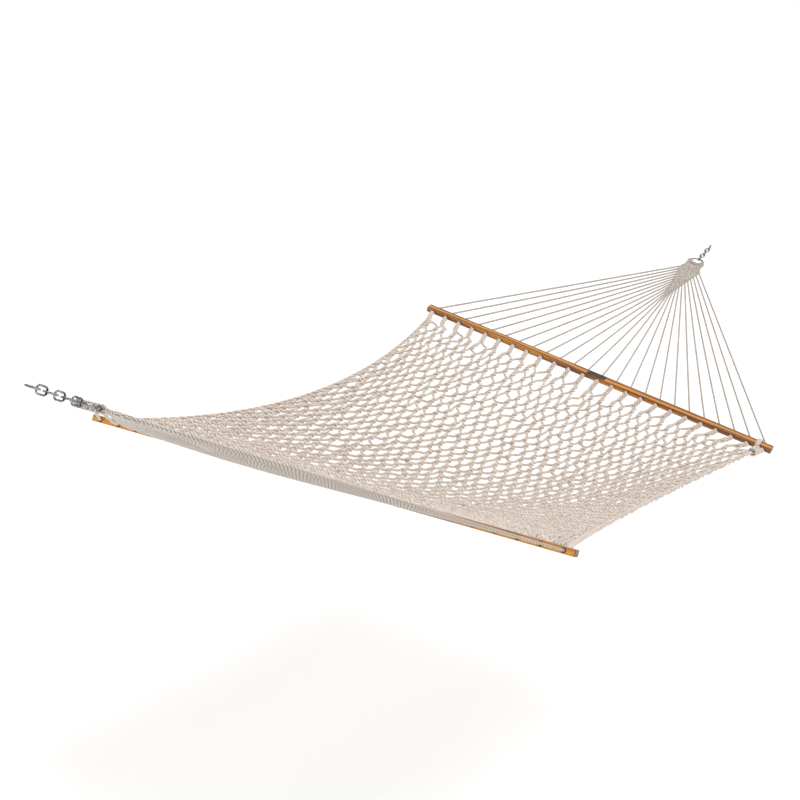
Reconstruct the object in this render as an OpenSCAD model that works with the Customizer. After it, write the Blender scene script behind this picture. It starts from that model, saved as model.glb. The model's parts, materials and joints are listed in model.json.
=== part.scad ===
// Rope hammock: an open rope net between two drilled wooden spreader bars.
// At each end the clew cords run through the bar to a plaited clew and a steel ring on a short chain.
// X runs from the foot end to the head end, Y across the bed and Z up, in millimetres.
// The origin is where a hook bears in the foot end's last chain link. The hammock is drawn hanging.

/* [Bed] */
// Distance between the two spreader bars
bed_l = 2134; // [1800:1:2400]
// Half width of the bed where it meets the bars, at the middle of the edge ropes
bed_half_w = 745; // [740:1:750]
// Thickness of the knotted net
bed_t = 8; // [8:1:16]
// How far the middle of the net hangs below the bars
mid_sag = 210; // [120:1:240]
// How far the middle of each edge rope hangs below the bars
edge_sag = 98; // [60:1:140]
// How far each edge rope is drawn in at the middle of its length
waist = 127; // [60:1:160]
// Diameter of an edge rope bundle
edge_rope_d = 16; // [12:1:18]

/* [Spreader bars] */
// Length of a bar
bar_l = 1524; // [1510:1:1540]
// Width of a bar, along the cords
bar_w = 38; // [34:1:44]
// Thickness of a bar
bar_t = 19; // [17:1:24]
// Diameter of each cord hole
hole_d = 12.5; // [10:0.5:13]
// Distance between cord holes
hole_pitch = 63.5; // [62:0.5:64]
// Number of cord holes in a bar
holes = 24; // [24:2:24]
// Slope of a bar's flat face as the taut cords hold it
bar_slope = 16; // [12:0.5:18]
// How far each bar leans, one end low, about the line of its clew
lean = 5.1; // [0:0.1:8]

/* [Clews] */
// Distance from the middle of a ring to the middle of its bar
clew_l = 1141; // [1000:1:1200]
// Slope of the clews and chains
clew_slope = 20.3; // [18:0.1:24]
// Diameter of a clew cord
cord_d = 8; // [6:0.1:9]
// How far the foot clew's middle cords sag between the plait and the bar
foot_cord_sag = 18; // [0:1:40]
// How far the head clew's middle cords sag between the plait and the bar
head_cord_sag = 5; // [0:1:40]
// Distance from the ring to the shoulder of the plaited clew
shoulder_l = 92; // [80:1:100]
// Full width of the plaited clew at its shoulder
shoulder_w = 100; // [90:1:110]
// Length of plait between one pair of cords leaving it and the next
cord_step = 24.5; // [22:0.5:25]
// Thickness of the plait
plait_t = 14; // [10:1:16]

/* [Rings and chains] */
// Inside diameter of a ring
ring_in_d = 50; // [46:1:56]
// Wire diameter of a ring
ring_wire = 8; // [6:0.5:9]
// Inside length of a chain link
link_in_l = 31; // [29:0.5:34]
// Inside width of a chain link
link_in_w = 13; // [12.5:0.5:15]
// Wire diameter of a chain link
link_wire = 5; // [4:0.5:5]
// Number of links at the foot end, the last one held by the hook
foot_links = 6; // [6]
// Number of links at the head end, the last one held by the hook
head_links = 5; // [5]

/* [Label plate] */
// Length of the blank plate along the head bar
label_l = 80; // [60:1:90]
// Width of the blank plate
label_w = 30; // [20:1:32]
// Thickness of the blank plate
label_t = 1; // [0.8:0.1:2]

/* [Hidden] */
gap = 0.5;
ring_r = (ring_in_d + ring_wire) / 2;
link_r = (link_in_w + link_wire) / 2;
link_half = (link_in_l + link_wire) / 2;
link_step = link_in_l - gap;
first_link = ring_in_d / 2 - gap - link_wire / 2 + link_half;
hook_reach = first_link + (foot_links - 1) * link_step + link_in_l / 2;
hang_out = cos(clew_slope);
hang_up = sin(clew_slope);
bed_mid = [bed_l / 2 + (clew_l + hook_reach) * hang_out, 0, -(clew_l + hook_reach) * hang_up];
pair_count = holes / 2;
clew_end = shoulder_l + (pair_count - 0.5) * cord_step;
clew_tip_w = 8;
cord_in = 3;
cord_lift = 3.2;
cord_sides = 10;
cord_spans = 8;
collar_r = ring_wire / 2 + cord_d;
collar_sweep = 170;
bend_out = 3;
loop_d = 17;
loop_l = 36;
net_start = 66 / bed_l;
edge_clear = 0.986;
bar_edge_r = 3;
bar_corner_r = 5;
label_shift = 16;
pin_d = 4;
lash_pos = 708;
lash_l = 22;
lash_t = cord_d;
rope_color = [0.93, 0.9, 0.83];
wood_color = [0.74, 0.42, 0.16];
steel_color = [0.62, 0.63, 0.64];
$fn = 48;

// ---- places ----

// One end's own frame: origin at the middle of its ring, +X down the clew to the bar.
module clew_frame(head = false) {
    translate(bed_mid) rotate([0, 0, head ? 180 : 0])
        translate([-bed_l / 2 - clew_l * hang_out, 0, clew_l * hang_up])
            rotate([0, clew_slope, 0]) rotate([-lean, 0, 0]) children();
}

// The bar's frame within its clew's: origin at the middle of the bar, +X towards the bed.
module bar_frame() {
    translate([clew_l, 0, 0]) rotate([0, bar_slope - clew_slope, 0]) children();
}

function hole_y(k) = (k - (holes - 1) / 2) * hole_pitch;

// A point given in the bar's frame, moved to the clew's frame.
function from_bar(p) =
    let (a = bar_slope - clew_slope)
    [clew_l + p[0] * cos(a) + p[2] * sin(a), p[1], p[2] * cos(a) - p[0] * sin(a)];

// Half width of the plait at a distance s from the ring.
function plait_half(s) =
    shoulder_w / 2 - (shoulder_w - clew_tip_w) / 2 * (s - shoulder_l) / (clew_end - shoulder_l);

// A point of the bed: u runs from foot bar to head bar, v from the right edge (-1) to the left (+1).
function bed_point(u, v) =
    let (
        dip = 4 * u * (1 - u),
        end_half = (holes - 1) / 2 * hole_pitch,
        q = v * (end_half + (bed_half_w - end_half) * dip),
        tip = sin(lean),
        sag = edge_sag + (mid_sag - edge_sag) * (1 - v * v)
    )
    bed_mid + [
        (u - 0.5) * bed_l - hang_up * tip * q,
        q * cos(lean) - v * waist * dip,
        (2 * u - 1) * hang_out * tip * q - sag * dip
    ];

// ---- shapes ----

function unit(v) = v / norm(v);

// Ring number i of a tube swept along a path, square to the path's direction there.
function tube_ring(path, i, d, sides) =
    let (
        last = len(path) - 1,
        before = i > 0 ? unit(path[i] - path[i - 1]) : [0, 0, 0],
        after = i < last ? unit(path[i + 1] - path[i]) : [0, 0, 0],
        along = unit(before + after),
        across = unit(cross([0, 0, 1], along)),
        up = cross(along, across)
    )
    [for (k = [0 : sides - 1])
        path[i] + d / 2 * (across * cos(360 * k / sides) + up * sin(360 * k / sides))];

module tube(path, d, sides) {
    last = len(path) - 1;
    points = [for (i = [0 : last]) each tube_ring(path, i, d, sides)];
    skin = [for (i = [0 : last - 1], k = [0 : sides - 1])
        let (a = i * sides + k, b = i * sides + (k + 1) % sides)
        each [[a, a + sides, b + sides], [a, b + sides, b]]];
    caps = [[for (k = [0 : sides - 1]) k], [for (k = [sides - 1 : -1 : 0]) last * sides + k]];
    polyhedron(points, concat(skin, caps), convexity = 4);
}

module ring_torus(r, wire) {
    rotate_extrude() translate([r, 0]) circle(d = wire);
}

// A welded link lying in the XY plane, its length along X.
module link() {
    straight = link_half - link_r;
    for (side = [0, 180]) rotate([0, 0, side]) {
        translate([straight, 0, 0]) rotate([0, 0, -90]) rotate_extrude(angle = 180)
            translate([link_r, 0]) circle(d = link_wire);
        translate([-straight, link_r, 0]) rotate([0, 90, 0])
            cylinder(d = link_wire, h = 2 * straight);
    }
}

// Link number i counted from the ring: odd links stand across the clew, even ones lie in its plane.
module chain_link(i, head) {
    color(steel_color) clew_frame(head) translate([-first_link - (i - 1) * link_step, 0, 0])
        rotate([i % 2 == 1 ? 90 : 0, 0, 0]) link();
}

module ring(head) {
    color(steel_color) clew_frame(head) ring_torus(ring_r, ring_wire);
}

module clew_plait(head) {
    near_w = 0.62 * shoulder_w;
    color(rope_color) clew_frame(head) difference() {
        union() {
            rotate([0, 0, -collar_sweep / 2]) rotate_extrude(angle = collar_sweep)
                translate([ring_r, 0]) circle(r = collar_r);
            linear_extrude(height = plait_t, center = true) polygon([
                [ring_r + ring_wire, -near_w / 2], [shoulder_l, -shoulder_w / 2],
                [clew_end, -clew_tip_w / 2], [clew_end, clew_tip_w / 2],
                [shoulder_l, shoulder_w / 2], [ring_r + ring_wire, near_w / 2]
            ]);
        }
        ring_torus(ring_r, ring_wire + 2 * gap);
    }
}

// Each cord leaves the plait's edge, sags a little on its way to its hole and passes through it.
module clew_cords(head) {
    color(rope_color) clew_frame(head) for (side = [-1, 1], i = [0 : pair_count - 1]) {
        s = shoulder_l + i * cord_step;
        y = side * hole_y(holes - 1 - i);
        first = max(plait_half(s) - cord_in, cord_d / 2 + gap / 2);
        start = [s, side * first, i % 2 == 0 ? -cord_lift : cord_lift];
        mouth = from_bar([-bar_w / 2 - bend_out, y, 0]);
        sag = [0, 0, (head ? head_cord_sag : foot_cord_sag) * (1 - pow(2 * y / bar_l, 2))];
        tube([
            for (t = [0 : 1 / cord_spans : 1]) start + (mouth - start) * t - 4 * t * (1 - t) * sag,
            from_bar([bar_w / 2 + 1, y, 0])
        ], cord_d, cord_sides);
    }
}

// The net's own loops, one bundle at each hole on the bed side of the bar.
module end_loops(head) {
    first = bar_w / 2 + bend_out + loop_d / 2;
    color(rope_color) clew_frame(head) bar_frame() for (k = [0 : holes - 1])
        translate([first, hole_y(k), 0]) {
            sphere(d = loop_d);
            rotate([0, 90, 0]) cylinder(d = loop_d, h = loop_l - loop_d);
            translate([loop_l - loop_d, 0, 0]) sphere(d = loop_d);
        }
}

module rounded_rect(w, h, r) {
    square([w - 2 * r, h], center = true);
    square([w, h - 2 * r], center = true);
    for (x = [-1, 1], y = [-1, 1]) translate([x * (w / 2 - r), y * (h / 2 - r)]) circle(r = r);
}

// A length of the bar's section along Y, grown by g all round.
module bar_blank(l, g = 0) {
    rotate([90, 0, 0]) linear_extrude(height = l, center = true)
        rounded_rect(bar_w + 2 * g, bar_t + 2 * g, bar_edge_r + g);
}

module spreader_bar(head) {
    color(wood_color) clew_frame(head) bar_frame() difference() {
        intersection() {
            bar_blank(bar_l);
            linear_extrude(height = bar_t, center = true) rounded_rect(bar_w, bar_l, bar_corner_r);
        }
        for (k = [0 : holes - 1]) translate([0, hole_y(k), 0]) rotate([0, 90, 0]) {
            cylinder(d = hole_d, h = bar_w + 2, center = true);
            for (end = [-1, 1]) translate([0, 0, end * bar_w / 2])
                cylinder(r1 = hole_d / 2 + (end < 0 ? 1 : -1), r2 = hole_d / 2 - (end < 0 ? 1 : -1),
                    h = 2, center = true);
        }
    }
}

module label_on_bar() {
    clew_frame(true) bar_frame() translate([0, label_shift, bar_t / 2]) children();
}

module label_plate() {
    color([0.2, 0.19, 0.15]) label_on_bar() linear_extrude(height = label_t) difference() {
        rounded_rect(label_w, label_l, 4);
        for (end = [-1, 1]) translate([0, end * (label_l / 2 - 6)]) circle(d = pin_d / 2 + 0.2);
    }
}

module label_pins() {
    color(steel_color) label_on_bar() for (end = [-1, 1])
        translate([0, end * (label_l / 2 - 6), 0]) {
            cylinder(d = pin_d / 2, h = label_t);
            translate([0, 0, label_t]) intersection() {
                translate([0, 0, -1]) sphere(r = 2.4);
                cylinder(d = pin_d, h = 3);
            }
        }
}

module edge_rope_lashing() {
    color(rope_color) clew_frame(true) bar_frame() translate([0, lash_pos, 0]) difference() {
        bar_blank(lash_l, lash_t);
        bar_blank(lash_l + 2, gap);
    }
}

// A closed sheet on the bed's surface, as a grid of flat facets.
module bed_net(rows = 28, cols = 16) {
    across = cols + 1;
    layer = (rows + 1) * across;
    points = [for (z = [bed_t / 2, -bed_t / 2], i = [0 : rows], j = [0 : cols])
        bed_point(net_start + (1 - 2 * net_start) * i / rows, edge_clear * (2 * j / cols - 1))
            + [0, 0, z]];
    top = [for (i = [0 : rows - 1], j = [0 : cols - 1]) let (a = i * across + j)
        each [[a, a + across, a + across + 1], [a, a + across + 1, a + 1]]];
    under = [for (f = top) [f[2] + layer, f[1] + layer, f[0] + layer]];
    rim = concat(
        [for (j = [0 : cols]) j], [for (i = [1 : rows]) i * across + cols],
        [for (j = [cols - 1 : -1 : 0]) rows * across + j], [for (i = [rows - 1 : -1 : 1]) i * across]
    );
    sides = [for (k = [0 : len(rim) - 1]) let (a = rim[k], b = rim[(k + 1) % len(rim)])
        each [[a, b, b + layer], [a, b + layer, a + layer]]];
    color(rope_color) polyhedron(points, concat(top, under, sides), convexity = 4);
}

// An edge rope bundle along one side of the net.
module edge_rope(side, stations = 36) {
    color(rope_color) tube([for (i = [0 : stations])
        bed_point(net_start + (1 - 2 * net_start) * i / stations, side)], edge_rope_d, cord_sides);
}

chain_link(foot_links, false);  // foot_hang_link
chain_link(1, false);  // foot_chain_link_1
chain_link(2, false);  // foot_chain_link_2
chain_link(3, false);  // foot_chain_link_3
chain_link(4, false);  // foot_chain_link_4
chain_link(5, false);  // foot_chain_link_5
ring(false);  // foot_ring
clew_plait(false);  // foot_clew_plait
clew_cords(false);  // foot_clew_cords
spreader_bar(false);  // foot_spreader_bar
end_loops(false);  // foot_end_loops
bed_net();
edge_rope(1);  // left_edge_rope
edge_rope(-1);  // right_edge_rope
end_loops(true);  // head_end_loops
spreader_bar(true);  // head_spreader_bar
label_plate();
label_pins();
edge_rope_lashing();
clew_cords(true);  // head_clew_cords
clew_plait(true);  // head_clew_plait
ring(true);  // head_ring
chain_link(1, true);  // head_chain_link_1
chain_link(2, true);  // head_chain_link_2
chain_link(3, true);  // head_chain_link_3
chain_link(4, true);  // head_chain_link_4
chain_link(head_links, true);  // head_hang_link
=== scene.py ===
"""Rope hammock: the net, ropes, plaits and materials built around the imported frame."""
import json
import math

import bpy
import numpy as np
from mathutils import Matrix, Vector


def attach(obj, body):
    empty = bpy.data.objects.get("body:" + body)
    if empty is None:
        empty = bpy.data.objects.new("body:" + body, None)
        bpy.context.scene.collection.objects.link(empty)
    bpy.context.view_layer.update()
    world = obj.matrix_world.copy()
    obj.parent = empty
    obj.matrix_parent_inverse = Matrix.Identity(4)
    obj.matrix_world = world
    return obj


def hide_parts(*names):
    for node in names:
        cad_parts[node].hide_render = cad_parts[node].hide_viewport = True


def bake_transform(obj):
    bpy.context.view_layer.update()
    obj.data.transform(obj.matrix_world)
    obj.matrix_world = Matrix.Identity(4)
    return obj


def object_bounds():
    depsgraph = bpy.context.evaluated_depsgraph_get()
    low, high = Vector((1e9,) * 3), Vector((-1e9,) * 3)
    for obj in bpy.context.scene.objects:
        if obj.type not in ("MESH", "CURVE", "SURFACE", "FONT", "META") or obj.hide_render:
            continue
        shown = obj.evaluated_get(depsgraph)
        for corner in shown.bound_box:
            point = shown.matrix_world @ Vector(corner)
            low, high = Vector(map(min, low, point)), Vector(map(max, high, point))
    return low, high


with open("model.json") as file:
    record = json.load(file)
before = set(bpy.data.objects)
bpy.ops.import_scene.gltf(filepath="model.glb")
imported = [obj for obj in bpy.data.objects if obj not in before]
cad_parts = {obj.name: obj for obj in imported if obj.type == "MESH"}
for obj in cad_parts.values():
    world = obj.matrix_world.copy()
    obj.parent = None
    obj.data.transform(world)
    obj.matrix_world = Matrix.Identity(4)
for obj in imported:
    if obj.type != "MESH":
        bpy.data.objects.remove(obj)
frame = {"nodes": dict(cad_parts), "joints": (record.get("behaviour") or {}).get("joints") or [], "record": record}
cad_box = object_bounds()

# ---- sizes, in metres, as part.scad has them ----
BED_HALF_W = 0.745
MID_SAG, EDGE_SAG, WAIST = 0.210, 0.098, 0.127
LEAN, CLEW_SLOPE, BAR_SLOPE = (math.radians(a) for a in (5.1, 20.3, 16.0))
BAR_HALF_W, BAR_HALF_L = 0.019, 0.762
BAR_HALF_T = 0.0095
HOLES, HOLE_PITCH, HOLE_R = 24, 0.0635, 0.00625
ROPE_D = 0.008
NET_ROPE_D = 0.0105
CORD_SAG = {"foot": 0.018, "head": 0.005}
RING_R, RING_WIRE_R = 0.029, 0.004
SHOULDER, SHOULDER_W, CORD_STEP = 0.092, 0.100, 0.0245
LASH_AT, LASH_TURNS = 0.708, 3
TIE_FROM, TIE_TO, TIE_PITCH, TIE_R = 0.034, 0.076, 0.0084, 0.0150

JOINTS = {j["name"]: j for j in frame["joints"]}
FOOT_BAR = np.array(JOINTS["foot_bar_rock"]["pos_m"])
HEAD_BAR = np.array(JOINTS["head_bar_rock"]["pos_m"])
BED_MID = (FOOT_BAR + HEAD_BAR) / 2
BED_L = HEAD_BAR[0] - FOOT_BAR[0]
rng = np.random.RandomState(7)


def unit(v):
    return v / np.linalg.norm(v, axis=-1, keepdims=True)


def smooth(t):
    t = np.clip(t, 0, 1)
    return t * t * (3 - 2 * t)


class End:
    """One end of the hammock: its clew's frame, with +X from the ring to the bar, and its bar's."""

    def __init__(self, name):
        self.name = name
        lean, rock = JOINTS[name + "_lean"], JOINTS[name + "_bar_rock"]
        self.side = 1 if name == "foot" else -1
        self.ring = np.array(lean["pos_m"])
        self.bar = np.array(rock["pos_m"])
        self.x = unit(np.array(lean["axis"]))
        self.y = unit(np.array(rock["axis"])) * self.side
        self.z = np.cross(self.x, self.y)
        a = CLEW_SLOPE - BAR_SLOPE
        self.bar_x = math.cos(a) * self.x + math.sin(a) * self.z
        self.bar_z = math.cos(a) * self.z - math.sin(a) * self.x
        self.clew_l = float(np.linalg.norm(self.bar - self.ring))

    def from_clew(self, p):
        p = np.asarray(p, float)
        return self.ring + p[..., :1] * self.x + p[..., 1:2] * self.y + p[..., 2:] * self.z

    def from_bar(self, p):
        p = np.asarray(p, float)
        return self.bar + p[..., :1] * self.bar_x + p[..., 1:2] * self.y + p[..., 2:] * self.bar_z


FOOT, HEAD = End("foot"), End("head")


# ---- camera ----
CAMERA_YAW, CAMERA_PITCH, CAMERA_ROLL = 0.4375, 0.2757, -0.2162
CAMERA_LENS = 67.08
CAMERA_FROM_BED = (-4.5102, -1.8003, 1.3741)


def add_camera():
    """Beyond the foot end, to the right of the bed and above it, rolled as a held camera is."""
    yaw, pitch, roll = CAMERA_YAW, CAMERA_PITCH, CAMERA_ROLL
    flat = math.cos(pitch)
    ahead = Vector((math.cos(yaw) * flat, math.sin(yaw) * flat, -math.sin(pitch)))
    level = Vector((math.sin(yaw), -math.cos(yaw), 0))
    below = ahead.cross(level)
    right = math.cos(roll) * level + math.sin(roll) * below
    down = math.cos(roll) * below - math.sin(roll) * level
    data = bpy.data.cameras.new("camera")
    data.sensor_width = 36
    data.lens = CAMERA_LENS
    data.clip_end = 2000
    camera = bpy.data.objects.new("camera", data)
    turn = Matrix((right, -down, -ahead)).transposed().to_4x4()
    camera.matrix_world = Matrix.Translation(Vector(BED_MID) + Vector(CAMERA_FROM_BED)) @ turn
    bpy.context.scene.collection.objects.link(camera)
    bpy.context.scene.camera = camera


add_camera()


# ---- materials ----
class Nodes:
    """A material's node tree, with short calls to add to it."""

    def __init__(self, name):
        self.material = bpy.data.materials.new(name)
        self.material.use_nodes = True
        self.tree = self.material.node_tree
        self.bsdf = self.tree.nodes["Principled BSDF"]

    def add(self, kind, inputs=None, **settings):
        node = self.tree.nodes.new(kind)
        for key, value in settings.items():
            setattr(node, key, value)
        for key, value in (inputs or {}).items():
            self.set(node, key, value)
        return node

    def set(self, node, key, value):
        if isinstance(value, bpy.types.NodeSocket):
            self.tree.links.new(value, node.inputs[key])
        else:
            node.inputs[key].default_value = value

    def math(self, operation, a, b=0.0, c=0.0):
        return self.add("ShaderNodeMath", {0: a, 1: b, 2: c}, operation=operation).outputs[0]

    def noise(self, where, scale, detail=2.0, rough=0.5):
        inputs = {"Vector": where, "Scale": scale, "Detail": detail, "Roughness": rough}
        return self.add("ShaderNodeTexNoise", inputs).outputs["Fac"]

    def ramp(self, value, *stops):
        node = self.add("ShaderNodeValToRGB", {"Fac": value})
        points = node.color_ramp.elements
        while len(points) < len(stops):
            points.new(0.5)
        for point, (at, color) in zip(points, stops):
            point.position = at
            point.color = (*color, 1) if len(color) == 3 else color
        return node.outputs["Color"]

    def grey(self, value, low, high, low_out=0.0, high_out=1.0):
        inputs = {"Value": value, "From Min": low, "From Max": high, "To Min": low_out, "To Max": high_out}
        return self.add("ShaderNodeMapRange", inputs).outputs[0]

    def mix(self, share, a, b, blend="MIX"):
        node = self.add("ShaderNodeMix", data_type="RGBA", blend_type=blend)
        for key, value in (("Factor_Float", share), ("A_Color", a), ("B_Color", b)):
            socket = next(s for s in node.inputs if s.identifier == key)
            if isinstance(value, bpy.types.NodeSocket):
                self.tree.links.new(value, socket)
            else:
                socket.default_value = value if key == "Factor_Float" else (*value, 1)
        return next(s for s in node.outputs if s.identifier == "Result_Color")

    def bump(self, height, strength, distance):
        inputs = {"Height": height, "Strength": strength, "Distance": distance}
        self.set(self.bsdf, "Normal", self.add("ShaderNodeBump", inputs).outputs[0])


def rope_material(name, tone, groove_shade_tone):
    """Spun cotton-look strands: pale crowns, and painted shade that darkens the grooves where the strands lie
    against each other.
    """
    n = Nodes(name)
    where = n.add("ShaderNodeTexCoord").outputs["Object"]
    groove_shade = n.add("ShaderNodeAttribute", attribute_name="groove_shade").outputs["Fac"]
    fibre = n.noise(where, 900, 3, 0.65)
    patch = n.noise(where, 14, 3, 0.6)
    shades = ((0.3, (0.89, 0.76, 0.67)), (0.55, (0.96, 0.86, 0.77)), (0.75, (0.98, 0.91, 0.83)))
    crown = n.ramp(patch, *((at, tuple(tone * c for c in color)) for at, color in shades))
    fuzzy = n.mix(n.grey(fibre, 0.35, 0.7, 0.0, 0.22), crown, (0.60, 0.52, 0.44))
    # painted shade: the colour is darkened towards the last tone in the grooves between the strands, where shade
    # falls
    color = n.mix(n.grey(groove_shade, 0.0, 0.9, 0.0, 0.9), fuzzy, groove_shade_tone)
    n.set(n.bsdf, "Base Color", color)
    n.set(n.bsdf, "Roughness", n.grey(fibre, 0.3, 0.7, 0.78, 0.95))
    n.set(n.bsdf, "Sheen Weight", 0.25)
    n.set(n.bsdf, "Sheen Roughness", 0.5)
    n.bump(fibre, 0.35, 0.0006)
    return n.material


def bar_directions(n, end):
    """Distances from the bar's middle across its width, along its length and up its thickness."""
    world = n.add("ShaderNodeTexCoord").outputs["Object"]
    local = n.add("ShaderNodeVectorMath", {0: world, 1: end.bar}, operation="SUBTRACT").outputs[0]
    return [
        n.add("ShaderNodeVectorMath", {0: local, 1: axis}, operation="DOT_PRODUCT").outputs["Value"]
        for axis in Matrix((end.bar_x, end.y, end.bar_z))
    ]


def stretched(n, where, scales):
    """The bar's own coordinates, scaled so that a noise on them is drawn out along the grain."""
    parts = {key: n.math("MULTIPLY", d, k) for key, d, k in zip("XYZ", where, scales)}
    return n.add("ShaderNodeCombineXYZ", parts).outputs[0]


def oak_grain(n, where):
    """Growth bands and streaks, then open pores: the colour and the two noises it comes from."""
    across, _, up = where
    bend = n.noise(stretched(n, where, (8, 1.2, 8)), 1.0, 3)
    rings = n.math("MULTIPLY_ADD", across, 210.0, n.math("MULTIPLY", bend, 13.0))
    band = n.math("SINE", n.math("ADD", rings, n.math("MULTIPLY", up, 90.0)))
    streak = n.noise(stretched(n, where, (420, 9, 420)), 1.0, 4, 0.6)
    pore = n.noise(stretched(n, where, (1500, 55, 1500)), 1.0, 2, 0.5)
    tone = n.math("MULTIPLY_ADD", band, 0.20, n.math("MULTIPLY_ADD", streak, 0.75, 0.12))
    color = n.ramp(
        tone,
        (0.30, (0.14, 0.040, 0.002)), (0.44, (0.42, 0.145, 0.004)),
        (0.58, (0.60, 0.218, 0.012)), (0.78, (0.76, 0.345, 0.035)),
    )
    return n.mix(n.grey(pore, 0.63, 0.70, 0.0, 0.7), color, (0.14, 0.052, 0.014)), streak, pore


def end_grain(n, where, color):
    """Darker, speckled wood on the bar's two sawn ends."""
    end_face = n.grey(n.math("ABSOLUTE", where[1]), BAR_HALF_L - 0.004, BAR_HALF_L - 0.0005)
    speckle = n.noise(stretched(n, where, (500, 0, 500)), 1.0, 3)
    tone = n.ramp(speckle, (0.35, (0.10, 0.036, 0.010)), (0.7, (0.24, 0.098, 0.032)))
    return n.mix(end_face, color, tone)


def painted_hole_shade(n, where, color):
    """Painted shade: a dark rim round each hole's mouth, and dark inside its bore, where shade falls in the hole.
    """
    across, along, up = where
    turns = n.math("DIVIDE", along, HOLE_PITCH)
    offset = n.math("MULTIPLY", n.math("SUBTRACT", n.math("FRACT", turns), 0.5), HOLE_PITCH)
    squares = n.math("MULTIPLY_ADD", offset, offset, n.math("MULTIPLY", up, up))
    near_hole = n.grey(n.math("SQRT", squares), HOLE_R + 0.0004, HOLE_R + 0.0028, 1.0, 0.0)
    on_edge = n.grey(n.math("ABSOLUTE", across), BAR_HALF_W - 0.0025, BAR_HALF_W - 0.0012)
    rim = n.math("MULTIPLY", near_hole, n.math("MULTIPLY", on_edge, 0.8))
    inside = n.math("MULTIPLY", near_hole, n.grey(n.math("ABSOLUTE", up), 0.0056, 0.0062, 1.0, 0.0))
    share = n.math("MAXIMUM", rim, n.math("MULTIPLY", inside, 0.75))
    # painted shade: the wood is darkened at the holes' mouths and in their bores
    return n.mix(share, color, (0.055, 0.022, 0.008))


def worn_edges(n, where, color):
    """Darker along the long edges, where hands and weather reach."""
    across, _, up = where
    corner = n.grey(
        n.math("ADD", n.math("ABSOLUTE", across), n.math("ABSOLUTE", up)),
        BAR_HALF_W + BAR_HALF_T - 0.006, BAR_HALF_W + BAR_HALF_T - 0.001,
    )
    patches = n.grey(n.noise(stretched(n, where, (30, 12, 30)), 1.0, 3), 0.3, 0.7, 0.1, 0.5)
    return n.mix(n.math("MULTIPLY", corner, patches), color, (0.22, 0.085, 0.02))


def wood_material(end):
    """Varnished oak, with its grain along the bar."""
    n = Nodes(end.name + "_oak")
    where = bar_directions(n, end)
    color, streak, pore = oak_grain(n, where)
    for layer in (end_grain, painted_hole_shade, worn_edges):
        color = layer(n, where, color)
    n.set(n.bsdf, "Base Color", color)
    n.set(n.bsdf, "Roughness", n.grey(streak, 0.3, 0.7, 0.34, 0.5))
    n.set(n.bsdf, "Coat Weight", 0.15)
    n.set(n.bsdf, "Coat Roughness", 0.18)
    height = n.math("SUBTRACT", n.math("MULTIPLY", streak, 0.5), n.math("MULTIPLY", pore, 0.6))
    n.bump(height, 0.35, 0.0005)
    return n.material


def steel_material():
    """Bright zinc plate: mottling, partly the plate's own and partly painted reflection whose near-black patches
    stand for the dark a shiny link reflects; fine scratches and dull spots.
    """
    n = Nodes("zinc_steel")
    where = n.add("ShaderNodeTexCoord").outputs["Object"]
    mottle_and_reflection = n.noise(where, 260, 4, 0.6)
    spots = n.noise(where, 70, 3, 0.55)
    # partly painted reflection: the ramp's near-black end gives the links the dark patches of a polished surface,
    # on top of the plate's real mottling
    color = n.ramp(mottle_and_reflection, (0.35, (0.06, 0.06, 0.06)), (0.65, (0.50, 0.50, 0.49)))
    color = n.mix(n.grey(spots, 0.55, 0.70, 0.0, 0.7), color, (0.07, 0.065, 0.06))
    n.set(n.bsdf, "Base Color", color)
    n.set(n.bsdf, "Metallic", 1.0)
    n.set(n.bsdf, "Roughness", n.grey(mottle_and_reflection, 0.3, 0.7, 0.12, 0.28))
    n.bump(mottle_and_reflection, 0.12, 0.0004)
    return n.material


def label_material():
    """Blank dark plate with a fine satin grain."""
    n = Nodes("dark_plate")
    where = n.add("ShaderNodeTexCoord").outputs["Object"]
    grain = n.noise(where, 800, 2)
    wear = n.noise(where, 60, 3)
    color = n.ramp(wear, (0.3, (0.020, 0.016, 0.009)), (0.7, (0.052, 0.041, 0.024)))
    n.set(n.bsdf, "Base Color", color)
    n.set(n.bsdf, "Metallic", 0.1)
    n.set(n.bsdf, "Roughness", n.grey(grain, 0.3, 0.7, 0.45, 0.65))
    n.bump(grain, 0.2, 0.0002)
    return n.material


# each rope's last colour is the painted shade in its grooves
NET_ROPE = rope_material("net_rope", 1.0, (0.33, 0.24, 0.19))
# painted shade: the clew's ropes are the net's rope with a darker tone and darker grooves, so the thin cords look
# shaded
SHADED_CLEW_ROPE = rope_material("clew_rope", 0.76, (0.10, 0.074, 0.052))


def finish_cad_nodes():
    """The wood, steel and label keep their CAD shapes and get their materials."""
    steel, label = steel_material(), label_material()
    oak = {end.name: wood_material(end) for end in (FOOT, HEAD)}
    slots = {s["node"]: s["material_slot"] for s in frame["record"]["subparts"]}
    for name, node in frame["nodes"].items():
        finish = {"steel": steel, "label": label, "wood": oak[name.split("_")[0]] if "bar" in name else None}
        material = finish.get(slots[name])
        if material:
            node.data.materials.clear()
            node.data.materials.append(material)


finish_cad_nodes()


# ---- ropes ----
# A rope's outline, once for each of its three strands: angle from the crown, share of the radius.
STRAND_OUTLINE = ((-25, 0.98), (25, 0.98), (60, 0.62))
# the points in the groove carry the rope's painted shade
GROOVE_SHADE = (0.0, 0.0, 1.0)  # which of those points lie in the groove
RING_EVERY = 0.0028
ROPE_LAY = 0.033


def resample(path, every=RING_EVERY):
    """The path's points, moved to an even spacing."""
    path = np.asarray(path, float)
    gaps = np.linalg.norm(np.diff(path, axis=0), axis=1)
    along = np.concatenate([[0], np.cumsum(gaps)])
    count = max(2, int(round(along[-1] / every)) + 1)
    at = np.linspace(0, along[-1], count)
    return np.stack([np.interp(at, along, path[:, i]) for i in range(3)], 1)


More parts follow.
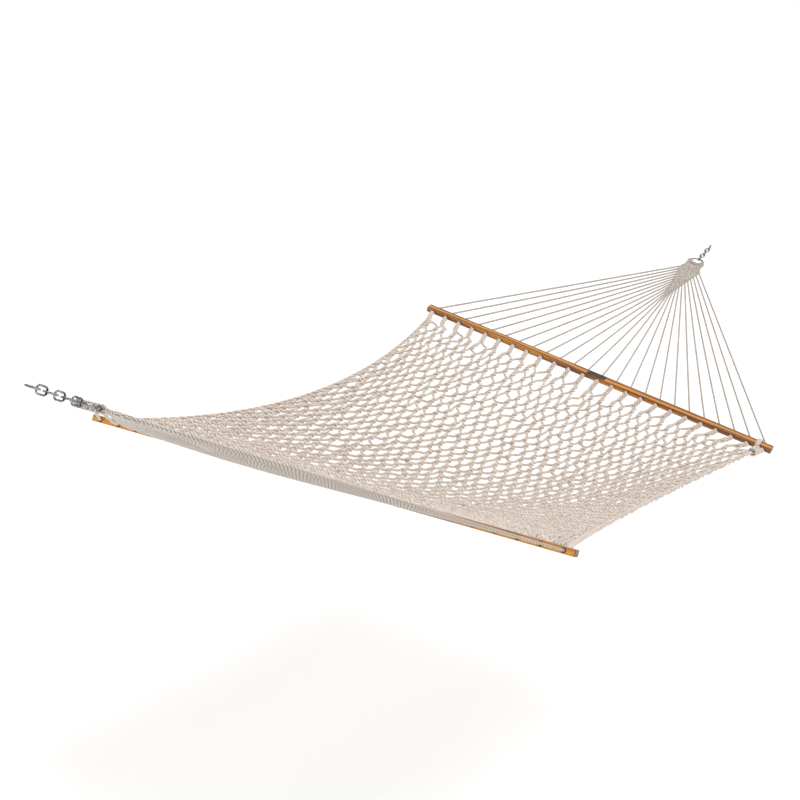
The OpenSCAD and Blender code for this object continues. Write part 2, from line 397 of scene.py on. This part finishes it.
def soften(path, rounds=3):
    """Rounds a path's corners, leaving its ends in place."""
    path = np.array(path, float)
    for _ in range(rounds):
        path[1:-1] = path[1:-1] / 2 + (path[:-2] + path[2:]) / 4
    return path


def side_vectors(path):
    """A unit vector square to the path at each point, carried along it without twist."""
    ahead = unit(np.gradient(path, axis=0))
    side = np.zeros_like(path)
    start = np.cross(ahead[0], (0, 0, 1))
    if np.linalg.norm(start) < 0.2:
        start = np.cross(ahead[0], (0, 1, 0))
    here = start / np.linalg.norm(start)
    for i, a in enumerate(ahead):
        here = here - here.dot(a) * a
        here = here / math.sqrt(here.dot(here))
        side[i] = here
    return ahead, side


def rope_rings(path, along, angles, radii, lay):
    """The outline's points at every point of a path, turning once in each lay's length."""
    ahead, side = side_vectors(path)
    up = np.cross(ahead, side)
    turn = (angles[None] + 2 * math.pi * along[:, None] / lay)[..., None]
    ring = radii[None, :, None] * (np.cos(turn) * side[:, None] + np.sin(turn) * up[:, None])
    return (path[:, None] + ring).reshape(-1, 3)


def rope_quads(count, m, first):
    """Faces between neighbouring rings of m points."""
    k = np.arange(m)
    start = first + np.arange(count - 1)[:, None] * m
    a, b = start + k[None], start + (k[None] + 1) % m
    return np.stack([a, b, b + m, a + m], -1).reshape(-1, 4)


def rope_map(at, m, strip, columns):
    """The faces' corners on a square map: ropes laid end to end in columns of one strip each."""
    k = np.arange(m)
    column = np.minimum((at[:-1] / strip).astype(int), columns - 1)
    v0 = (at[:-1] - column * strip) / strip * 0.97 + 0.01
    v1 = (at[1:] - column * strip) / strip * 0.97 + 0.01
    u0 = (column[:, None] + 0.05 + 0.9 * k[None] / m) / columns
    u1 = (column[:, None] + 0.05 + 0.9 * (k[None] + 1) / m) / columns
    corners = [(u0, v0), (u1, v0), (u1, v1), (u0, v1)]
    spread = [np.stack([u, np.broadcast_to(v[:, None], u.shape)], -1) for u, v in corners]
    return np.stack(spread, 2)


def rope_piece(name, paths, diameter=ROPE_D, lay=ROPE_LAY, material=NET_ROPE):
    """One mesh of three-strand ropes, each along a path of evenly spaced points."""
    outline = [(math.radians(120 * s + a), r) for s in range(3) for a, r in STRAND_OUTLINE]
    angles = np.array([a for a, _ in outline])
    radii = np.array([r for _, r in outline]) * diameter / 2
    m = len(outline)
    points, faces, uvs, first, laid = [], [], [], 0, 0.0
    total = sum(float(np.linalg.norm(np.diff(p, axis=0), axis=1).sum()) for p in paths)
    strip = math.sqrt(total * math.pi * diameter)
    columns = max(1, math.ceil(total / strip))
    for path in paths:
        gaps = np.linalg.norm(np.diff(path, axis=0), axis=1)
        along = np.concatenate([[0], np.cumsum(gaps)])
        points.append(rope_rings(path, along, angles, radii, lay))
        faces.append(rope_quads(len(path), m, first))
        uvs.append(rope_map(laid + along, m, strip, columns))
        first += len(path) * m
        laid += float(gaps.sum())
    # each point's share of the painted shade in the grooves
    groove_shades = np.tile(GROOVE_SHADE, 3 * (first // m))
    points, faces = np.concatenate(points), np.concatenate(faces)
    return build_mesh(name, points, faces, uvs, groove_shades, m, paths, material)


def build_mesh(name, points, quads, uvs, groove_shades, m, paths, material):
    """The mesh of a rope piece: its quads, a closed end at both ends of each rope, and its map."""
    starts = np.cumsum([0] + [len(p) * m for p in paths[:-1]])
    ends = starts + np.array([(len(p) - 1) * m for p in paths])
    caps = [list(range(s + m - 1, s - 1, -1)) for s in starts] + [list(range(e, e + m)) for e in ends]
    mesh = bpy.data.meshes.new(name)
    mesh.vertices.add(len(points))
    mesh.vertices.foreach_set("co", points.astype(np.float32).ravel())
    corners = np.concatenate([quads.ravel(), np.array(caps).ravel()])
    mesh.loops.add(len(corners))
    mesh.loops.foreach_set("vertex_index", corners.astype(np.int32))
    begin = np.concatenate([np.arange(len(quads)) * 4, len(quads) * 4 + np.arange(len(caps)) * m])
    mesh.polygons.add(len(begin))
    mesh.polygons.foreach_set("loop_start", begin.astype(np.int32))
    mesh.update(calc_edges=True)
    mesh.polygons.foreach_set("use_smooth", np.ones(len(begin), bool))
    layer = mesh.uv_layers.new(name="OFBake")
    flat = np.concatenate([u.reshape(-1, 2) for u in uvs])
    cap_uv = np.tile([0.002, 0.002], (len(caps) * m, 1))
    layer.data.foreach_set("uv", np.concatenate([flat, cap_uv]).astype(np.float32).ravel())
    # the painted shade's mask, which the rope material reads to darken the grooves
    shade = mesh.attributes.new("groove_shade", "FLOAT", "POINT")
    shade.data.foreach_set("value", groove_shades.astype(np.float32))
    mesh.materials.append(material)
    mesh.validate()
    piece = bpy.data.objects.new(name, mesh)
    bpy.context.scene.collection.objects.link(piece)
    return piece


# ---- the bed's surface ----
def hole_y(k):
    return (k - (HOLES - 1) / 2) * HOLE_PITCH


def bed_point(u, v):
    """u runs from the foot bar to the head bar, v from the right edge, -1, to the left, +1."""
    dip = 4 * u * (1 - u)
    end_half = hole_y(HOLES - 1)
    q = v * (end_half + (BED_HALF_W - end_half) * dip)
    tip = math.sin(LEAN)
    sag = EDGE_SAG + (MID_SAG - EDGE_SAG) * (1 - v * v)
    return BED_MID + np.stack([
        (u - 0.5) * BED_L - math.sin(CLEW_SLOPE) * tip * q,
        q * math.cos(LEAN) - v * WAIST * dip,
        (2 * u - 1) * math.cos(CLEW_SLOPE) * tip * q - sag * dip,
    ], -1)


def on_bed(u, v, sideways, lift):
    """A point off the bed's surface by a distance to the left and a distance up."""
    step = 1e-3
    left = unit(bed_point(u, v + step) - bed_point(u, v - step))
    along = unit(bed_point(u + step, v) - bed_point(u - step, v))
    up = np.cross(along, left)
    return bed_point(u, v) + sideways[:, None] * left + lift[:, None] * up


# ---- the net ----
COLUMNS = 36              # twisted pairs in a row
STRANDS = 2 * COLUMNS
PER_HOLE = STRANDS // HOLES
ROWS = 31
FIRST_ROW = 0.136         # from the bar to the middle of the first row's pairs
PAIR_L = 0.046            # length over which a pair lies twisted together
BUNDLE_FROM, BUNDLE_TO = 0.026, 0.080
BUNDLE_LAY = 0.055
SETTLE_L = 0.045          # length over which a bundle turns from its hole's line to the bed's
ROW_JITTER, COLUMN_JITTER = 0.0080, 0.19
NET_EDGE_IN = 0.006
BUNCHING = 0.42           # how strongly the columns crowd towards the edges at the middle of the bed
ROW_STEP = (BED_L - 2 * FIRST_ROW) / (ROWS - 1)
row_shift = rng.normal(0, ROW_JITTER, (ROWS, 2 * COLUMNS + 1))
column_shift = rng.normal(0, COLUMN_JITTER, (ROWS, 2 * COLUMNS + 1))
column_shift[:, (0, -1)] = 0


def pair_column(strand, row):
    """The place across the net of the pair that a strand belongs to in a row, in half columns."""
    return 2 * (strand // 2) + 1 if row % 2 == 0 else 2 * ((strand + 1) // 2)


def pair_side(strand, row):
    """-1 where the strand is its pair's right partner, +1 where it's the left."""
    return 1 if (strand + row) % 2 == 1 else -1


def crowd(t, u):
    """Moves a column at share t of the width outwards, most at the middle of the bed."""
    b = BUNCHING * 4 * u * (1 - u)
    return (1 - b) * t + b * np.sin(math.pi / 2 * t)


def strand_path(strand):
    """One strand of the net, from its hole in the foot bar to its hole in the head bar."""
    rows = range(ROWS)
    halves = np.array([pair_column(strand, r) for r in rows])
    sides = np.array([pair_side(strand, r) for r in rows], float)
    at = FIRST_ROW + ROW_STEP * np.arange(ROWS) + np.array([row_shift[r, h] for r, h in enumerate(halves)])
    column = (halves + np.array([column_shift[r, h] for r, h in enumerate(halves)])) / (2 * COLUMNS)
    x = np.arange(BUNDLE_FROM, BED_L - BUNDLE_FROM + 1e-6, RING_EVERY)
    u = x / BED_L
    place = np.interp(x, at, np.arange(ROWS))
    low = np.minimum(place.astype(int), ROWS - 2)
    part = place - low
    hold = PAIR_L / ROW_STEP / 2
    move = smooth((part - hold) / (1 - 2 * hold))
    v = crowd(2 * (column[low] * (1 - move) + column[low + 1] * move) - 1, u)
    edge = 1 - NET_EDGE_IN / BED_HALF_W
    v = np.clip(v, -edge, edge)
    sideways = (sides[low] * (1 - move) + sides[low + 1] * move) * NET_ROPE_D / 2
    lift = np.zeros_like(x)
    nearest = np.where(part < 0.5, low, low + 1)
    within = (x - at[nearest]) / PAIR_L + 0.5
    twisted = (within > 0) & (within < 1)
    turn = 2 * math.pi * smooth(within) + np.where(sides[nearest] > 0, 0, math.pi)
    sideways = np.where(twisted, np.cos(turn) * NET_ROPE_D / 2, sideways)
    lift = np.where(twisted, np.sin(turn) * NET_ROPE_D / 2, lift)
    path = on_bed(u, v, sideways, lift)
    for end in (FOOT, HEAD):
        path = gather(path, x if end is FOOT else BED_L - x, strand, end, at, u)
    return path


def gather(path, x, strand, end, at, u):
    """Near a bar the strands of one hole twist together and run into it."""
    k = strand // PER_HOLE
    y = hole_y(k)
    first = at[0] if end is FOOT else BED_L - at[-1]
    spread = smooth((x - BUNDLE_TO) / (first - PAIR_L / 2 - BUNDLE_TO))
    turn = 2 * math.pi * (x / BUNDLE_LAY + (strand % PER_HOLE) / PER_HOLE)
    r = NET_ROPE_D / math.sqrt(3)
    bundle = on_bed(u, np.full_like(x, y / hole_y(HOLES - 1)), np.cos(turn) * r, np.sin(turn) * r)
    mouth = end.from_bar(np.stack([x, np.full_like(x, y * end.side), np.zeros_like(x)], -1))
    centre = on_bed(u, np.full_like(x, y / hole_y(HOLES - 1)), np.zeros_like(x), np.zeros_like(x))
    settle = smooth((x - BUNDLE_FROM) / SETTLE_L)[:, None]
    bundle = bundle + (mouth - centre) * (1 - settle)
    near = x < first
    spread = np.where(near, spread, 1)[:, None]
    return bundle * (1 - spread) + path * spread


def cut_in_two(path):
    """A path's foot half and head half, which meet at the middle of the bed."""
    middle = int(np.argmin(np.abs(path[:, 0] - BED_MID[0])))
    return path[:middle + 1], path[middle:]


def blend_to_end(piece):
    """Bakes the piece's placement into its mesh."""
    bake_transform(piece)


def build_net(bands=4):
    halves = [cut_in_two(soften(strand_path(s), 1)) for s in range(STRANDS)]
    per_band = STRANDS // bands
    for side, end in enumerate((FOOT, HEAD)):
        for band in range(bands):
            paths = [resample(halves[s][side]) for s in range(band * per_band, (band + 1) * per_band)]
            piece = rope_piece(f"net_{end.name}_{band + 1}", paths, NET_ROPE_D)
            blend_to_end(piece)
            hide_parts("bed_net", end.name + "_end_loops")


build_net()


# ---- edge ropes ----
EDGE_LAY = 0.075
EDGE_ROPES = 2
EDGE_LIFT = 0.002


def edge_path(side, number):
    """One rope of the bundle along an edge of the net, from bar to bar."""
    x = np.arange(BUNDLE_FROM, BED_L - BUNDLE_FROM + 1e-6, RING_EVERY)
    u = x / BED_L
    turn = 2 * math.pi * (x / EDGE_LAY + number / EDGE_ROPES)
    v = np.full_like(x, side)
    path = on_bed(u, v, np.cos(turn) * ROPE_D / 2, np.sin(turn) * ROPE_D / 2 + EDGE_LIFT)
    for end, away in ((FOOT, x), (HEAD, BED_L - x)):
        y = side * hole_y(HOLES - 1) * end.side
        mouth = end.from_bar(np.stack([away, np.full_like(x, y), np.zeros_like(x)], -1))
        share = (1 - smooth((away - BUNDLE_FROM) / SETTLE_L))[:, None]
        centre = on_bed(u, v, np.zeros_like(x), np.zeros_like(x))
        path = path + (mouth - centre) * share
    return path


def build_edge_ropes():
    for side, name in ((1, "left"), (-1, "right")):
        halves = [cut_in_two(edge_path(side, i)) for i in range(EDGE_ROPES)]
        for which, end in enumerate((FOOT, HEAD)):
            piece = rope_piece(f"{name}_edge_{end.name}", [resample(h[which]) for h in halves])
            blend_to_end(piece)
            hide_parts(name + "_edge_rope")


build_edge_ropes()


# ---- clews ----
PAIRS = HOLES // 2
STEPS_PER_CORD = 6
STEP = CORD_STEP / STEPS_PER_CORD
PLAIT_FROM = 0.046
STEPS_BEFORE = int(round((SHOULDER - PLAIT_FROM) / STEP))
PLAIT_START = SHOULDER - STEPS_BEFORE * STEP
WEAVE_LIFT = 0.0038
PLAIT_NARROWING = 0.008   # width lost at each pair of cords that leaves
GATHERED_W = 0.0030       # distance between neighbouring strands where the plait begins
LOOP_SPREAD = 80          # degrees of the ring to each side that the ropes cover
LOOP_GAP = 0.0003
CORD_ENTRY, CORD_EXIT = 0.003, 0.012    # how far outside the bar a cord bends and ends
NEAR_RING = 0.062         # within this of the ring's middle, a rope's bends are looser
FINE = 0.0012


def slot_width(s):
    """Distance between neighbouring strands' places in the plait, at s from the ring."""
    m = np.clip((s - SHOULDER) / CORD_STEP, 0, PAIRS - 1)
    tapered = (SHOULDER_W - PLAIT_NARROWING * m) / (HOLES - 2 * m)
    widening = np.interp(s, [PLAIT_START, SHOULDER], [GATHERED_W, SHOULDER_W / HOLES])
    return np.where(s < SHOULDER, widening, tapered)


def braid():
    """Each strand's place in the plait at each step, its side at each crossing, and where it leaves."""
    steps = STEPS_BEFORE + (PAIRS - 1) * STEPS_PER_CORD
    order = list(range(HOLES))
    places = {s: [s] for s in order}
    signs = {s: [] for s in order}
    leaves, gone = {}, 0
    for step in range(steps + 1):
        if step >= STEPS_BEFORE and (step - STEPS_BEFORE) % STEPS_PER_CORD == 0:
            for place in (gone, HOLES - 1 - gone):
                leaves[order[place]] = place
            gone += 1
        if step == steps:
            break
        moved = {}
        for a in range(step % 2, HOLES - 1, 2):
            if a >= gone and a + 1 < HOLES - gone:
                order[a], order[a + 1] = order[a + 1], order[a]
                over = 1 if step % 2 == 0 else -1
                moved[order[a + 1]], moved[order[a]] = over, -over
        for place in range(gone, HOLES - gone):
            places[order[place]].append(place)
            signs[order[place]].append(moved.get(order[place], 0))
    return places, signs, leaves


def plait_leg(strand, places, signs, leaves, end):
    """A strand from the ring's side of the plait to the bed side of its hole, in the clew's frame."""
    fine = 5
    count = len(places[strand]) - 1
    t = np.linspace(0, count, count * fine + 1)
    low = np.minimum(t.astype(int), max(count - 1, 0))
    part = t - low
    at = np.array(places[strand], float)
    place = at[low] + (at[np.minimum(low + 1, count)] - at[low]) * part
    s = PLAIT_START + t * STEP
    y = (place - (HOLES - 1) / 2) * slot_width(s)
    sign = np.array(signs[strand] + [0])[low]
    z = WEAVE_LIFT * sign * np.sin(math.pi * part)
    woven = np.stack([s, y, z], -1)
    y_hole = hole_y(leaves[strand])
    tilt = CLEW_SLOPE - BAR_SLOPE
    through = [-(BAR_HALF_W + CORD_ENTRY), BAR_HALF_W + CORD_EXIT]
    mouth = np.array([(end.clew_l + d * math.cos(tilt), y_hole, d * math.sin(tilt)) for d in through])
    t = np.linspace(0, 1, 41)[1:, None]
    sag = 4 * t * (1 - t) * (1 - (y_hole / BAR_HALF_L) ** 2) * np.array((0, 0, CORD_SAG[end.name]))
    free = woven[-1] + (mouth[0] - woven[-1]) * t - sag
    return np.concatenate([woven, free, mouth[1:]])


def ring_loop(number):
    """A rope's turn round the ring, from the plait's top layer to its bottom one, in the clew's frame."""
    angle = math.radians(LOOP_SPREAD * (2 * number / (PAIRS - 1) - 1))
    r = RING_WIRE_R + ROPE_D / 2 + LOOP_GAP
    out = np.array([math.cos(angle), math.sin(angle), 0])
    turns = [math.radians(a) for a in range(20, 341, 20)]
    return np.array([out * (RING_R + r * math.cos(a)) + (0, 0, r * math.sin(a)) for a in turns])


def build_clew(end):
    """Twelve ropes, each from its hole through the plait, round the ring and back to another hole."""
    places, signs, leaves = braid()
    paths = []
    for number in range(PAIRS):
        top = plait_leg(2 * number, places, signs, leaves, end)
        under = plait_leg(2 * number + 1, places, signs, leaves, end)
        loop = ring_loop(number)
        joined = np.concatenate([top[::-1], loop, under])
        dense = resample(joined, FINE)
        near_ring = np.linalg.norm(dense, axis=1) < NEAR_RING
        rounded = soften(dense, 8)
        loose = soften(dense, 24)
        dense = np.where(near_ring[:, None], loose, rounded)
        paths.append(resample(end.from_clew(dense)))
    for part in range(2):
        piece = rope_piece(f"{end.name}_clew_ropes_{part + 1}", paths[part::2], material=SHADED_CLEW_ROPE)
        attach(piece, end.name + "_clew")
        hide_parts(end.name + "_clew_plait", end.name + "_clew_cords")


KNOT_D, KNOT_LAY = 0.0056, 0.020
KNOT_R, KNOT_TURNS, KNOT_PITCH = 0.0052, 1.75, 0.0055
KNOT_FROM_BAR = 0.0052


def build_knots(end):
    """At each hole the cord's end turns round the net's bundle on the bed side of the bar."""
    paths = []
    t = np.linspace(0, KNOT_TURNS, 40)
    for k in range(HOLES):
        a = 2 * math.pi * t + k
        x = BAR_HALF_W + KNOT_FROM_BAR + KNOT_PITCH * t
        centre = np.stack([x, hole_y(k) + KNOT_R * np.cos(a), KNOT_R * np.sin(a)], -1)
        paths.append(resample(end.from_bar(centre), 0.0018))
    piece = rope_piece(end.name + "_knots", paths, KNOT_D, KNOT_LAY)
    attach(piece, end.name + "_clew")
    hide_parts(end.name + "_end_loops")


for end in (FOOT, HEAD):
    build_clew(end)
    build_knots(end)


# ---- lashing ----
LASH_GAP = 0.0006
LASH_HALF_W = 0.0075
LASH_LEAD = [[0.033, 0.708, 0.0], [0.027, 0.703, 0.004]]    # in the head bar's frame
LASH_TAIL = [[0.038, 0.718, 0.001], [0.050, 0.722, 0.001]]
TIE_STEP = 0.00025


def rounded_section(width, height, r, steps=10):
    """Points round a rectangle with round corners, as pairs, once round."""
    points = []
    for corner, (sx, sy) in enumerate(((1, 1), (-1, 1), (-1, -1), (1, -1))):
        cx, cy = sx * (width / 2 - r), sy * (height / 2 - r)
        for i in range(steps + 1):
            a = math.radians(90 * corner + 90 * i / steps)
            points.append((cx + r * math.cos(a), cy + r * math.sin(a)))
    return np.array(points)


def build_lashing():
    """The right edge's rope, brought round the head bar between its last two holes."""
    reach = ROPE_D / 2 + LASH_GAP
    section = rounded_section(2 * (BAR_HALF_W + reach), 2 * (BAR_HALF_T + reach), 0.003 + reach)
    turns = np.concatenate([section] * LASH_TURNS + [section[:1]])
    y = LASH_AT + np.linspace(-1, 1, len(turns)) * LASH_HALF_W
    around = np.stack([turns[:, 0], y, turns[:, 1]], -1)
    path = np.concatenate([LASH_LEAD, around, LASH_TAIL])
    path = soften(resample(path, 0.0015), 4)
    piece = rope_piece("lashing", [resample(HEAD.from_bar(path), 0.002)])
    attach(piece, "head_bar")
    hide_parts("edge_rope_lashing")


def build_corner_tie():
    """The edge rope's end, wound round the net's right corner next to the lashing."""
    middle = sum(edge_path(-1, i) for i in range(EDGE_ROPES)) / EDGE_ROPES
    away = BED_MID[0] + BED_L / 2 - middle[:, 0]
    core = resample(middle[(away > TIE_FROM) & (away < TIE_TO)][::-1], TIE_STEP)
    ahead, side = side_vectors(core)
    turn = (2 * math.pi / TIE_PITCH * TIE_STEP * np.arange(len(core)))[:, None]
    coil = core + TIE_R * (np.cos(turn) * side + np.sin(turn) * np.cross(ahead, side))
    piece = rope_piece("corner_tie", [resample(coil, 0.002)])
    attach(piece, "head_clew")
    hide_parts("head_end_loops")


build_lashing()
build_corner_tie()


# ---- floor and light ----
FLOOR_HALF, FLOOR_DROP = 500, 1.0
KEY_FROM, KEY_STRENGTH, KEY_ANGLE = (0.6, -0.9, 4.0), 1.30, 35


def add_floor():
    n = Nodes("floor")
    n.set(n.bsdf, "Base Color", (0.93, 0.93, 0.93, 1))
    n.set(n.bsdf, "Roughness", 0.9)
    n.set(n.bsdf, "Emission Color", (1, 1, 1, 1))
    n.set(n.bsdf, "Emission Strength", 0.12)
    z = cad_box[0][2] - FLOOR_DROP
    mesh = bpy.data.meshes.new("floor")
    corners = [(x * FLOOR_HALF, y * FLOOR_HALF, z) for x, y in ((-1, -1), (1, -1), (1, 1), (-1, 1))]
    mesh.from_pydata(corners, [], [(0, 1, 2, 3)])
    mesh.materials.append(n.material)
    floor = bpy.data.objects.new("floor", mesh)
    bpy.context.scene.collection.objects.link(floor)


def add_sun(name, at, strength, angle):
    data = bpy.data.lights.new(name, "SUN")
    data.energy = strength
    data.angle = math.radians(angle)
    lamp = bpy.data.objects.new(name, data)
    lamp.rotation_euler = (-Vector(at)).to_track_quat("-Z", "Y").to_euler()
    bpy.context.scene.collection.objects.link(lamp)


def add_world():
    """White all round, a little weaker overhead so the ropes keep their shape."""
    world = bpy.data.worlds.new("studio")
    world.use_nodes = True
    tree = world.node_tree
    height = tree.nodes.new("ShaderNodeSeparateXYZ")
    tree.links.new(tree.nodes.new("ShaderNodeTexCoord").outputs["Generated"], height.inputs[0])
    strength = tree.nodes.new("ShaderNodeMapRange")
    for key, value in (("From Min", 0.1), ("From Max", 0.5), ("To Min", 1.0), ("To Max", 0.7)):
        strength.inputs[key].default_value = value
    tree.links.new(height.outputs["Z"], strength.inputs["Value"])
    tree.nodes["Background"].inputs["Color"].default_value = (1, 1, 1, 1)
    tree.links.new(strength.outputs[0], tree.nodes["Background"].inputs["Strength"])
    bpy.context.scene.world = world
    bpy.context.scene.view_settings.view_transform = "Standard"


add_floor()
add_sun("key", KEY_FROM, KEY_STRENGTH, KEY_ANGLE)
add_world()
